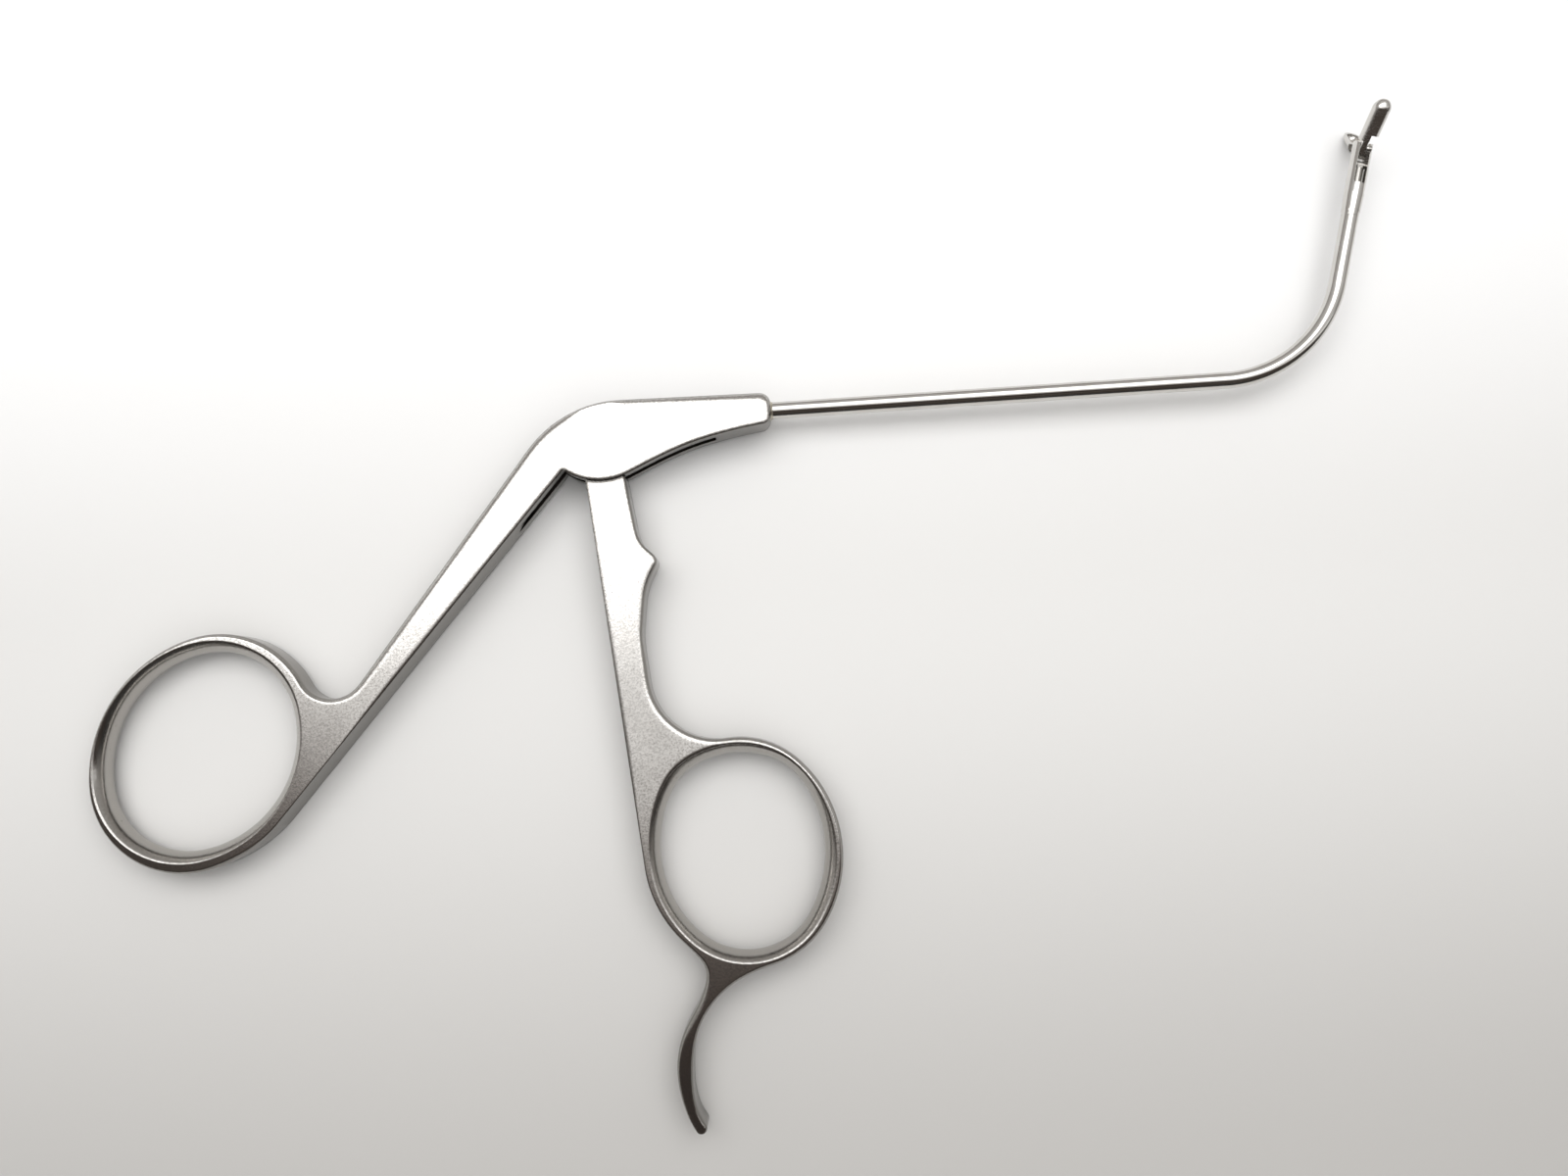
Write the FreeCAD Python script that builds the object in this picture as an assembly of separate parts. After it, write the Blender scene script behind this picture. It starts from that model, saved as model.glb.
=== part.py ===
import FreeCAD, Part
import math
import os

# Ring-handled sinus forceps with a bent tube and double-action spoon jaws, in millimetres.
# The origin is the lever's pivot axis on the underside plane, with +X along the straight part of the tube,
# +Y towards the side that the tube bends to and +Z up through the thickness of the handles.

# Handle slab
slab_t = 5.5
face_skim = 0.2
edge_round = 1.1
nose_round = 1.2
flank_round = 0.9
hook_round = 0.75
round_runout = 0.1
hole_round = 1.3

# Fixed handle, body
nose_x = 26.2
nose_top = 2.4
nose_low = 2.35
nose_top_corner = 1.6
nose_low_corner = 1.5
back_top = 2.85
shoulder_r = 18.0
belly_r = 9.6
belly_front_deg = -66.0
waist_x = 13.0
waist_drop = 5.0
nose_flare = 0.14
notch_deg = -128.0

# Fixed handle, rear arm and thumb ring
thumb_x = -62.1
thumb_y = -46.2
thumb_half_long = 15.3
thumb_half_wide = 13.4
thumb_end_r = 12.0
thumb_deg = 54.0
thumb_wall = 2.9
thumb_far_wall = 1.9
thumb_end_wall = 3.0
arm_root_w = 6.3
arm_root_s = 0.9
arm_end_w = 3.95
arm_end_s = 42.0
bay_r = 5.0

# Moving handle
lever_gap = 0.15
lever_top_x = -2.5
lever_top_w = 6.1
bump_s = 13.8
bump_w = 8.7
neck_w = 4.7
neck_s = 26.6
web_r = 10.2
finger_x = 17.8
finger_y = -66.4
finger_half_long = 14.5
finger_wall = 2.35
finger_half_wide = 12.3
finger_end_r = 11.0
finger_deg = -84.0
hook_right_deg = -76.0
hook_left_deg = -138.0
hook_drop = 39.6
hook_out = 11.6
hook_w = 2.1
hook_tip_deg = -58.0

# Pivot, tang and slot
pivot_pin_r = 1.1
pin_fit = 0.02
running_fit = 0.04
eye_play = 0.06
slot_w = 1.8
side_play = 0.05
tang_boss_r = 1.95
slot_room = 0.15
slot_front_x = 17.5
slot_back_x = 4.2
slot_back_drop = 0.6
slot_runout = 11.6
tang_lap = 1.2
tang_inset = 0.3
squeeze_deg = 18.0
tang_pin_r = 0.5

# Shaft tube and its bend
tube_r = 1.3
bore_r = 0.95
braze_fit = 0.02
corner_x = 111.7
bend_deg = 73.5
bend_r = 20.0
leg_len = 36.7

# Jaw clevis
clevis_r = 1.5
clevis_len = 10.0
clevis_taper = 2.8
clevis_lip = 0.06
socket_len = 3.0
ear_gap = 1.7
ear_root = 5.6
guide_r = 0.8
jaw_pin_r = 0.4

# Jaws
jaw_r = 1.4
jaw_tip = 8.2
jaw_nose_len = 1.5
jaw_rear = 1.9
jaw_rear_far = 2.9
cup_wall = 0.42
cup_rear = 3.3
flat_depth = 0.15
flat_stop = 1.2
jaw_open_deg = 42.0
rim_gap = 0.02
neck_in = 0.02
neck_out = 0.82
jaw_boss_r = 1.2
inner_boss_r = 0.62

# Linkage at the jaws
tail_len = 1.3
tail_closed_deg = 48.0
tail_lobe_r = 0.52
tail_pin_r = 0.25
link_len = 2.5
link_end_r = 0.55
link_body = 0.4
layer_split = 0.42
layer_gap = 0.02
tongue_half = 0.4
tongue_h = 0.55
tongue_room = 0.05
guide_room = 0.1
link_slim = 0.05
eye_slack = 0.1

# Drive line
rod_r = 0.65
rod_start_x = 8.4
rod_stop = 5.8
head_t = 0.6
fork_w = 0.7
head_eye_r = 0.95
head_half = 0.55
head_knee_x = 6.5
head_socket_r = 0.85
head_socket_len = 4.0
head_lap = 0.5
fork_reach = 8.0
fork_spare_deg = 2.0
sleeve_r = 0.85
wire_r = 0.5
sleeve_len = 7.0
sleeve_grip = 3.0
shank_spare = 4.6
wire_gap = 0.8

# How far cutting bodies run past the faces that they cut
over = 1.0

V = FreeCAD.Vector
X = V(1, 0, 0)
Y = V(0, 1, 0)
Z = V(0, 0, 1)
mid_z = slab_t / 2


def polar(centre, radius, deg):
    a = math.radians(deg)
    return V(centre.x + radius * math.cos(a), centre.y + radius * math.sin(a), 0)


def direction(deg):
    return V(math.cos(math.radians(deg)), math.sin(math.radians(deg)), 0)


def bearing(v):
    return math.degrees(math.atan2(v.y, v.x))


def left_of(v):
    return V(-v.y, v.x, 0)


def line(a, b):
    return Part.makeLine(a, b)


def arc_about(centre, radius, deg0, deg1):
    stations = [polar(centre, radius, deg) for deg in (deg0, (deg0 + deg1) / 2, deg1)]
    return Part.Arc(*stations).toShape()


def spline(points, start, end):
    curve = Part.BSplineCurve()
    curve.interpolate(Points=points, InitialTangent=start, FinalTangent=end)
    return curve.toShape()


def corner_arc(before, corner, after, radius):
    """The arc that rounds the corner between two straight runs, with its two tangent points."""
    a = (before - corner).normalize()
    b = (after - corner).normalize()
    half = math.acos(max(-1.0, min(1.0, a.dot(b)))) / 2
    reach = radius / math.tan(half)
    middle = (a + b).normalize()
    centre = corner + middle * (radius / math.sin(half))
    p = corner + a * reach
    q = corner + b * reach
    return p, Part.Arc(p, centre - middle * radius, q).toShape(), q


def prism(edges, z0, height):
    face = Part.Face(Part.Wire(Part.__sortEdges__(edges)))
    solid = face.extrude(V(0, 0, height))
    solid.translate(V(0, 0, z0))
    return solid


def polygon(points, z0, height):
    return prism([line(points[i], points[(i + 1) % len(points)]) for i in range(len(points))], z0, height)


def disc(centre, radius, z0, height):
    return Part.makeCylinder(radius, height, V(centre.x, centre.y, z0), Z)


def strip(a, b, half, z0, height):
    n = left_of((b - a).normalize()) * half
    return polygon([a + n, b + n, b - n, a - n], z0, height)


def same_place(a, b):
    return math.hypot(a.x - b.x, a.y - b.y) < 1e-3


def middle_of(edge):
    return edge.valueAt((edge.FirstParameter + edge.LastParameter) / 2)


def blank(edges):
    return prism(edges, -face_skim, slab_t + 2 * face_skim)


def skimmed(solid, outline):
    """Rounds a thick blank and grinds both faces flat, so that its sides bulge between crisp edges.

    The outline is of edges, each with its first and last radius.
    """
    picked = []
    for number, edge in enumerate(solid.Edges, 1):
        m = middle_of(edge)
        on_face = abs(abs(m.z - mid_z) - mid_z - face_skim) < 1e-3
        for piece, first, last in outline:
            if on_face and same_place(m, middle_of(piece)):
                ahead = same_place(edge.Vertexes[0].Point, piece.Vertexes[0].Point)
                picked.append((number, first, last) if ahead else (number, last, first))
    page = FreeCAD.newDocument()
    base = page.addObject("Part::Feature", "Base")
    base.Shape = solid
    fillet = page.addObject("Part::Fillet", "Rounding")
    fillet.Base = base
    fillet.Edges = picked
    page.recompute()
    box = fillet.Shape.BoundBox
    ground = Part.makeBox(box.XLength, box.YLength, slab_t, V(box.XMin, box.YMin, 0))
    return fillet.Shape.common(ground)


def bulged_hole(oval, radius):
    """The space inside a ring whose inner side bulges like the slab's outer sides."""
    frame = oval.loop(radius + over)
    wall = skimmed(blank(frame).cut(blank(oval.loop())), evenly(oval.loop(), radius))
    return prism(frame, 0, slab_t).cut(wall)


def evenly(edges, radius):
    return [(edge, radius, radius) for edge in edges]


class Oval:
    """A four-arc oval, addressed by the bearing of its outward normal."""

    def __init__(self, centre, deg, half_long, half_wide, end_r):
        self.centre = centre
        self.deg = deg
        self.end_r = end_r
        self.reach = half_long - end_r
        self.drop = (self.reach ** 2 - (half_wide - end_r) ** 2) / (2 * (half_wide - end_r))
        self.side_r = self.drop + half_wide
        self.turn = math.degrees(math.atan2(self.drop, self.reach))

    def arc_at(self, normal):
        """Centre and radius of the arc that holds this normal, and the arc's own limits."""
        rel = (normal - self.deg + self.turn) % 360.0
        start = normal - rel
        along = direction(self.deg)
        across = left_of(along)
        spans = [
            (2 * self.turn, along * self.reach, self.end_r),
            (180 - 2 * self.turn, across * -self.drop, self.side_r),
            (2 * self.turn, along * -self.reach, self.end_r),
            (180 - 2 * self.turn, across * self.drop, self.side_r),
        ]
        for span, offset, radius in spans:
            if rel < span:
                return self.centre + offset, radius, start, start + span
            rel -= span
            start += span
        return self.centre + along * self.reach, self.end_r, start, start + 2 * self.turn

    def at(self, normal, grow=0.0):
        centre, radius, _, _ = self.arc_at(normal)
        return polar(centre, radius + grow, normal)

    def run(self, start, stop, grow=0.0):
        """Arcs from one normal to another, clockwise, on the oval grown outwards by grow."""
        edges = []
        here = start
        while here - stop > 1e-6:
            centre, radius, low, _ = self.arc_at(here - 1e-6)
            there = max(low, stop)
            edges.append(arc_about(centre, radius + grow, here, there))
            here = there
        return edges

    def loop(self, grow=0.0):
        top = self.deg + self.turn
        return self.run(top, top - 360.0, grow)

    def touch_from(self, point, near_normal, grow, side):
        """Normal at which a straight line from the point touches the grown oval."""
        centre, radius, _, _ = self.arc_at(near_normal)
        away = point - centre
        return bearing(away) + side * math.degrees(math.acos((radius + grow) / away.Length))


origin = V(0, 0, 0)
thumb = Oval(V(thumb_x, thumb_y, 0), thumb_deg, thumb_half_long, thumb_half_wide, thumb_end_r)
wall_mean = (thumb_wall + thumb_far_wall) / 2
rim_shift = direction(thumb_deg - 90) * ((thumb_wall - thumb_far_wall) / 2)
thumb_rim = Oval(
    thumb.centre + rim_shift,
    thumb_deg,
    thumb_half_long + thumb_end_wall,
    thumb_half_wide + wall_mean,
    thumb_end_r + wall_mean,
)
finger = Oval(V(finger_x, finger_y, 0), finger_deg, finger_half_long, finger_half_wide, finger_end_r)

# Fixed handle outline: nose, back, rear arm and thumb ring.
notch = polar(origin, belly_r, notch_deg)
thumb_touch = thumb_rim.touch_from(notch, thumb_deg - 96, 0, -1)
if thumb_touch < -180:
    thumb_touch += 360
arm_foot = thumb_rim.at(thumb_touch)
arm_dir = (arm_foot - notch).normalize()
arm_out = left_of(arm_dir) * -1
back_root = notch + arm_dir * arm_root_s + arm_out * arm_root_w
back_end = notch + arm_dir * arm_end_s + arm_out * arm_end_w
back_dir = (back_end - back_root).normalize()
back_side = left_of(back_dir) * -1
end_centre, outer_end, _, _ = thumb_rim.arc_at(thumb_deg)
start_line = back_root + back_side * bay_r
gap_vec = start_line - end_centre
half_b = gap_vec.dot(back_dir)
bay_t = -half_b - math.sqrt(half_b ** 2 - gap_vec.dot(gap_vec) + (outer_end + bay_r) ** 2)
bay_centre = start_line + back_dir * bay_t
bay_start = bay_centre - back_side * bay_r
bay_normal = bearing(bay_centre - end_centre)
bay_touch = polar(end_centre, outer_end, bay_normal)
bay_mid = bay_centre + ((bay_start - bay_centre) + (bay_touch - bay_centre)).normalize() * bay_r

top_slope = (V(nose_x, nose_top, 0) - V(0, back_top, 0)).normalize()
nose_corner = V(nose_x, nose_top, 0)
back_line = back_root - V(0, back_top, 0)
cross = top_slope.x * back_dir.y - top_slope.y * back_dir.x
along_top = (back_line.x * back_dir.y - back_line.y * back_dir.x) / cross
back_corner = V(0, back_top, 0) + top_slope * along_top
low_corner = V(nose_x, -nose_low, 0)
low_slope = V(-1, -nose_flare, 0).normalize()
low_end, low_arc, front_low = corner_arc(low_corner + low_slope, low_corner, nose_corner, nose_low_corner)
front_top, top_arc, top_start = corner_arc(low_corner, nose_corner, back_corner, nose_top_corner)
top_end, shoulder_arc, arm_start = corner_arc(nose_corner, back_corner, back_end, shoulder_r)

outer_run = [
    low_arc,
    line(front_low, front_top),
    top_arc,
    line(top_start, top_end),
    shoulder_arc,
    line(arm_start, bay_start),
    Part.Arc(bay_start, bay_mid, bay_touch).toShape(),
]
sweep_stop = thumb_touch
while sweep_stop < bay_normal:
    sweep_stop += 360


def thumb_sweep():
    """Outer arcs of the thumb ring, anticlockwise from the bay to the foot of the arm's inner edge."""
    edges = []
    here = bay_normal
    while sweep_stop - here > 1e-6:
        centre, radius, _, high = thumb_rim.arc_at(here + 1e-6)
        there = min(high, sweep_stop)
        edges.append(arc_about(centre, radius, here, there))
        here = there
    return edges


ring_run = thumb_sweep()

belly_front = polar(origin, belly_r, belly_front_deg)
waist = V(waist_x, -waist_drop, 0)
underside = spline([belly_front, waist, low_end], direction(belly_front_deg + 90), low_slope * -1)
inset = thumb_wall * 0.4
outer_half = skimmed(blank(outer_run + ring_run + [
    line(arm_foot, arm_foot + arm_out * inset),
    line(arm_foot + arm_out * inset, notch + arm_out * inset),
    line(notch + arm_out * inset, low_end + V(0, nose_low_corner, 0)),
    line(low_end + V(0, nose_low_corner, 0), low_end),
]), [
    (outer_run[0], round_runout, nose_round),
    *evenly(outer_run[1:5], nose_round),
    (outer_run[5], nose_round, edge_round),
    *evenly(outer_run[6:] + ring_run[:-1], edge_round),
    (ring_run[-1], edge_round, round_runout),
])
lap = thumb_wall * 0.7
inner_half = prism([
    line(arm_foot, notch),
    arc_about(origin, belly_r, notch_deg, belly_front_deg),
    underside,
    line(low_end, low_end + V(0, nose_low_corner * 1.5, 0)),
    line(low_end + V(0, nose_low_corner * 1.5, 0), origin),
    line(origin, notch + arm_out * lap),
    line(notch + arm_out * lap, arm_foot + arm_out * lap),
    line(arm_foot + arm_out * lap, arm_foot),
], 0, slab_t)
fixed_handle = outer_half.fuse(inner_half).removeSplitter()
fixed_handle = fixed_handle.cut(bulged_hole(thumb, hole_round))
slot_z = mid_z - slot_w / 2
slot_r = tang_boss_r + slot_room
runout = notch + arm_dir * slot_runout
slot_cut = polygon([
    runout,
    V(-slot_back_x, -slot_back_drop, 0),
    polar(origin, slot_r, 135),
    polar(origin, slot_r, 45),
    V(slot_front_x, head_socket_r + slot_room * 2, 0),
    V(slot_front_x, -belly_r, 0),
    V(belly_r, -belly_r * 1.4, 0),
    V(notch.x, notch.y * 1.9, 0),
], slot_z, slot_w)
slot_cut = slot_cut.fuse(disc(origin, slot_r, slot_z, slot_w))
fixed_handle = fixed_handle.cut(slot_cut)
fixed_handle = fixed_handle.cut(disc(origin, pivot_pin_r + pin_fit, -over, slab_t + 2 * over))
seat_r = tube_r + braze_fit
tube_seat = Part.makeCylinder(seat_r, nose_x - slot_front_x + over, V(slot_front_x, 0, mid_z), X)
fixed_handle = fixed_handle.cut(tube_seat)
pivot_pin = disc(origin, pivot_pin_r, 0, slab_t)

# Moving handle outline: shoulder, finger bump, finger ring and little-finger hook.
shoulder_at = belly_r + lever_gap
lever_top = V(lever_top_x, -math.sqrt(shoulder_at ** 2 - lever_top_x ** 2), 0)
lever_touch = finger.touch_from(lever_top, 185, finger_wall, 1)
lever_foot = finger.at(lever_touch, finger_wall)
lever_dir = (lever_foot - lever_top).normalize()
lever_in = left_of(lever_dir)


def on_lever(s, w):
    """A point at a distance along the lever's straight edge and a width from it."""
    return lever_top + lever_dir * s + lever_in * w


neck_start = on_lever(neck_s, neck_w)
finger_end = finger.arc_at(finger_deg + 180)
end_outer = finger_end[1] + finger_wall
web_line = neck_start + lever_in * web_r
web_gap = web_line - finger_end[0]
web_b = web_gap.dot(lever_dir)
web_t = -web_b - math.sqrt(web_b ** 2 - web_gap.dot(web_gap) + (end_outer + web_r) ** 2)
web_centre = web_line + lever_dir * web_t
web_start = web_centre - lever_in * web_r
web_normal = bearing(web_centre - finger_end[0])
web_touch = polar(finger_end[0], end_outer, web_normal)
web_mid = web_centre + ((web_start - web_centre) + (web_touch - web_centre)).normalize() * web_r
corner_deg = math.degrees(math.atan2(lever_top.y, lever_top.x)) + math.degrees(lever_top_w / shoulder_at)
lever_corner = polar(origin, shoulder_at, corner_deg)
flank = spline([
    lever_corner,
    on_lever(bump_s * 0.54, lever_top_w * 1.03),
    on_lever(bump_s * 0.83, bump_w * 0.83),
    on_lever(bump_s, bump_w),
    on_lever(bump_s * 1.12, bump_w * 0.9),
    on_lever(bump_s * 1.37, bump_w * 0.7),
    on_lever(bump_s * 1.62, neck_w * 1.12),
    neck_start,
], lever_dir, lever_dir)
hook_start = finger.at(hook_right_deg, finger_wall)
hook_back = finger.at(hook_left_deg, finger_wall)


def on_hook(out, down):
    """A point of the hook, as shares of how far it leans out and hangs down from the ring's centre."""
    return V(finger_x - hook_out * out, finger_y - hook_drop * down, 0)


hook_tip = on_hook(0.741, 0.977)
hook_heading = direction(hook_tip_deg)
tip_side = left_of(hook_heading) * (hook_w * 0.4)
tip_right = hook_tip + tip_side
tip_left = hook_tip - tip_side
clockwise = left_of(direction(hook_right_deg)) * -1
hook_right = spline([
    hook_start,
    on_hook(0.284, 0.485),
    on_hook(0.69, 0.621),
    on_hook(0.806, 0.773),
    on_hook(0.767, 0.914),
    tip_right,
], clockwise, hook_heading)
tip_arc = Part.Arc(tip_right, hook_tip + hook_heading * hook_w * 0.4, tip_left).toShape()
hook_left = spline([
    tip_left,
    on_hook(0.957, 0.874),
    on_hook(1.0, 0.773),
    on_hook(0.905, 0.646),
    on_hook(0.655, 0.52),
    on_hook(0.569, 0.444),
    hook_back,
], hook_heading * -1, left_of(direction(hook_left_deg)) * -1)
lever_run = [
    flank,
    line(neck_start, web_start),
    Part.Arc(web_start, web_mid, web_touch).toShape(),
]
top_normal = web_normal % 360.0
lever_run += finger.run(top_normal, hook_right_deg, finger_wall)
lever_run += [hook_right, tip_arc, hook_left]
left_normal = lever_touch
while left_normal > hook_left_deg:
    left_normal -= 360
foot_run = finger.run(hook_left_deg, left_normal, finger_wall)
inside_top = polar(origin, shoulder_at, bearing(lever_top) + math.degrees(inset / shoulder_at))
lap_top = polar(origin, shoulder_at, bearing(lever_top) + math.degrees(lap / shoulder_at))
lever_outer = skimmed(blank(lever_run + foot_run + [
    line(lever_foot, lever_foot + lever_in * inset),
    line(lever_foot + lever_in * inset, inside_top),
    arc_about(origin, shoulder_at, bearing(inside_top), corner_deg),
]), [
    *evenly(lever_run[:1], flank_round),
    (lever_run[1], flank_round, edge_round),
    *evenly(lever_run[2:-3], edge_round),
    (lever_run[-3], edge_round, hook_round),
    (lever_run[-2], hook_round, hook_round),
    (lever_run[-1], hook_round, edge_round),
    *evenly(foot_run[:-1], edge_round),
    (foot_run[-1], edge_round, round_runout),
])
lever_inner = prism([
    line(lever_top, lever_foot),
    line(lever_foot, lever_foot + lever_in * lap),
    line(lever_foot + lever_in * lap, lap_top),
    arc_about(origin, shoulder_at, bearing(lap_top), bearing(lever_top)),
], 0, slab_t)
moving_handle = lever_outer.fuse(lever_inner).removeSplitter()
moving_handle = moving_handle.cut(bulged_hole(finger, hole_round))

# Tang of the moving handle, in the slot of the fixed one.
tang_t = slot_w - 2 * side_play
tang_z = mid_z - tang_t / 2
tang = polygon([
    on_lever(tang_lap, tang_inset),
    V(-tang_boss_r, 0, 0),
    V(tang_boss_r, 0, 0),
    on_lever(tang_lap, lever_top_w - tang_inset),
], tang_z, tang_t)
tang = tang.fuse(disc(origin, tang_boss_r, tang_z, tang_t))


def jaw_point(deg):
    """A jaw's tail pin in the plane of motion, as distances along and across the leg's axis."""
    a = math.radians(180 + deg)
    return tail_len * math.cos(a), tail_len * math.sin(a)


closed_s, closed_z = jaw_point(tail_closed_deg)
open_s, open_z = jaw_point(tail_closed_deg + jaw_open_deg)
cross_open = open_s - math.sqrt(link_len ** 2 - open_z ** 2)
cross_closed = closed_s - math.sqrt(link_len ** 2 - closed_z ** 2)
stroke = cross_open - cross_closed
tang_arm = stroke / (2 * math.sin(math.radians(squeeze_deg / 2)))
tang_pin_at = polar(origin, tang_arm, -90 + squeeze_deg / 2)
head_dir = V(head_knee_x, 0, 0) - tang_pin_at
head_deg = bearing(head_dir)
fork = disc(tang_pin_at, head_eye_r + slot_room, mid_z - fork_w / 2, fork_w)
fork_half = head_half + slot_room
sweep_low = head_deg - fork_spare_deg
sweep_high = head_deg + squeeze_deg + fork_spare_deg
for heading in (sweep_low, (sweep_low + sweep_high) / 2, sweep_high):
    far = tang_pin_at + direction(heading) * fork_reach
    fork = fork.fuse(strip(tang_pin_at, far, fork_half, mid_z - fork_w / 2, fork_w))
fork = fork.fuse(polygon([
    tang_pin_at,
    tang_pin_at + direction(sweep_low) * fork_reach,
    tang_pin_at + direction(sweep_high) * fork_reach,
], mid_z - fork_w / 2, fork_w))
moving_handle = moving_handle.fuse(tang).removeSplitter()
moving_handle = moving_handle.cut(fork)
moving_handle = moving_handle.cut(disc(origin, pivot_pin_r + running_fit, -over, slab_t + 2 * over))
moving_handle = moving_handle.cut(disc(tang_pin_at, tang_pin_r + pin_fit, tang_z - over, tang_t + 2 * over))
tang_pin = disc(tang_pin_at, tang_pin_r, tang_z, tang_t)

# Shaft tube: straight run, bend and distal leg.
corner = V(corner_x, 0, mid_z)
leg_dir = direction(bend_deg)
tangent = bend_r * math.tan(math.radians(bend_deg / 2))
bend_start = corner - V(tangent, 0, 0)
bend_centre = bend_start + V(0, bend_r, 0)
bend_end = corner + leg_dir * tangent
jaw_pivot = corner + leg_dir * leg_len
tube_start_x = slot_front_x + side_play
shank_end = clevis_len + shank_spare
tube_end = jaw_pivot - leg_dir * (clevis_len - socket_len + side_play)


def bent_rod(radius, start, end):
    """A solid round bar that follows the shaft's path between two points on its straight runs."""
    first = Part.makeCylinder(radius, (bend_start - start).Length, start, X)
    ring = Part.makeTorus(bend_r, radius, bend_centre, Z, -180, 180, bend_deg)
    ring.rotate(bend_centre, Z, -90)
    last = Part.makeCylinder(radius, (end - bend_end).Length, bend_end, leg_dir)
    return first.fuse([ring, last]).removeSplitter()


tube_start = V(tube_start_x, 0, mid_z)
shaft_bore = bent_rod(bore_r, tube_start - X * over, tube_end + leg_dir * over)
shaft_tube = bent_rod(tube_r, tube_start, tube_end).cut(shaft_bore)


def on_leg(shape):
    """Places a shape drawn along +X from the jaw pivot onto the distal leg."""
    placed = shape.copy()
    placed.rotate(origin, Z, bend_deg)
    placed.translate(jaw_pivot)
    return placed


def along_leg(radius, s0, s1):
    return Part.makeCylinder(radius, s1 - s0, V(s0, 0, 0), X)


def across_leg(radius, n0, n1, s, z):
    return Part.makeCylinder(radius, n1 - n0, V(s, n0, z), Y)


def box(s0, s1, n0, n1, z0, z1):
    return Part.makeBox(s1 - s0, n1 - n0, z1 - z0, V(s0, n0, z0))


# Jaw clevis on the end of the tube.
clevis = along_leg(clevis_r, -clevis_len + clevis_taper, clevis_r)
taper_r = seat_r + clevis_lip
clevis = clevis.fuse(Part.makeCone(taper_r, clevis_r, clevis_taper, V(-clevis_len, 0, 0), X))
ear_round = across_leg(clevis_r, -clevis_r, clevis_r, 0, 0)
past = clevis_r + over
ear_block = box(-clevis_len, 0, -past, past, -past, past)
clevis = clevis.common(ear_block.fuse(ear_round)).removeSplitter()
clevis = clevis.cut(box(-ear_root, past, -ear_gap / 2, ear_gap / 2, -past, past))
clevis = clevis.cut(along_leg(guide_r, -clevis_len - over, -ear_root + over))
clevis = clevis.cut(along_leg(seat_r, -clevis_len - over, -clevis_len + socket_len))
clevis = clevis.cut(across_leg(jaw_pin_r + pin_fit, -past, past, 0, 0))
jaw_pin = across_leg(jaw_pin_r, -clevis_r, clevis_r, 0, 0).common(along_leg(clevis_r, -clevis_r, clevis_r))


def bullet(rear, tip, radius, nose_len):
    """A round bar along the leg with a rounded nose, turned from its half profile."""
    shoulder = tip - nose_len
    on_nose = V(shoulder + nose_len * math.sqrt(0.5), radius * math.sqrt(0.5), 0)
    profile = [
        line(V(rear, 0, 0), V(tip, 0, 0)),
        line(V(rear, 0, 0), V(rear, radius, 0)),
        line(V(rear, radius, 0), V(shoulder, radius, 0)),
        spline([V(shoulder, radius, 0), on_nose, V(tip, 0, 0)], X, Y * -1),
    ]
    return Part.Face(Part.Wire(Part.__sortEdges__(profile))).revolve(origin, X, 360)


def cup(rear, tip, radius):
    """The spoon's hollow: a round channel with a domed end each way."""
    mid0 = rear + radius
    mid1 = tip - radius
    channel = Part.makeCylinder(radius, mid1 - mid0, V(mid0, 0, 0), X)
    return channel.fuse([Part.makeSphere(radius, V(mid0, 0, 0)), Part.makeSphere(radius, V(mid1, 0, 0))])


def make_jaw(side):
    """A spoon jaw in its closed place; side is +1 for the upper jaw and -1 for the lower."""
    head = bullet(jaw_rear, jaw_tip, jaw_r, jaw_nose_len)
    side_past = jaw_r + over
    near_half = box(jaw_rear - over, jaw_tip + over, 0, side_past, rim_gap, side_past)
    far_half = box(jaw_rear_far, jaw_tip + over, -side_past, 0, rim_gap, side_past)
    head = head.common(near_half.fuse(far_half))
    head = head.cut(cup(cup_rear, jaw_tip - cup_wall, jaw_r - cup_wall))
    head = head.cut(box(jaw_rear - over, jaw_tip - flat_stop, -jaw_r, jaw_r, jaw_r - flat_depth, side_past))
    neck = box(0, cup_rear - cup_wall, neck_in, neck_out, rim_gap, jaw_boss_r)
    neck = neck.common(along_leg(jaw_r, -over, jaw_tip))
    inner = across_leg(jaw_boss_r, neck_in, layer_split - layer_gap, 0, 0)
    lobe = across_leg(tail_lobe_r, neck_in, layer_split - layer_gap, closed_s, closed_z)
    n = V(-closed_z, 0, closed_s).normalize() * tail_lobe_r
    tail = V(closed_s, neck_in, closed_z)
    hub = V(0, neck_in, 0)
    blade_face = Part.Face(Part.makePolygon([hub + n, tail + n, tail - n, hub - n, hub + n]))
    blade = blade_face.extrude(Y * (layer_split - layer_gap - neck_in))
    outer = across_leg(inner_boss_r, neck_in, neck_out, 0, 0)
    jaw = head.fuse([neck, inner, lobe, blade, outer]).removeSplitter()
    jaw = jaw.cut(across_leg(jaw_pin_r + running_fit, -over, over, 0, 0))
    jaw = jaw.cut(across_leg(tail_pin_r + pin_fit, -over, over, closed_s, closed_z))
    pin = across_leg(tail_pin_r, neck_in, neck_out, closed_s, closed_z)
    open_turn = -jaw_open_deg
    for shape in (jaw, pin):
        shape.rotate(origin, Y, open_turn)
        if side < 0:
            shape.rotate(origin, X, 180)
    return jaw, pin


upper_jaw, upper_tail_pin = make_jaw(1)
lower_jaw, lower_tail_pin = make_jaw(-1)


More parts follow.
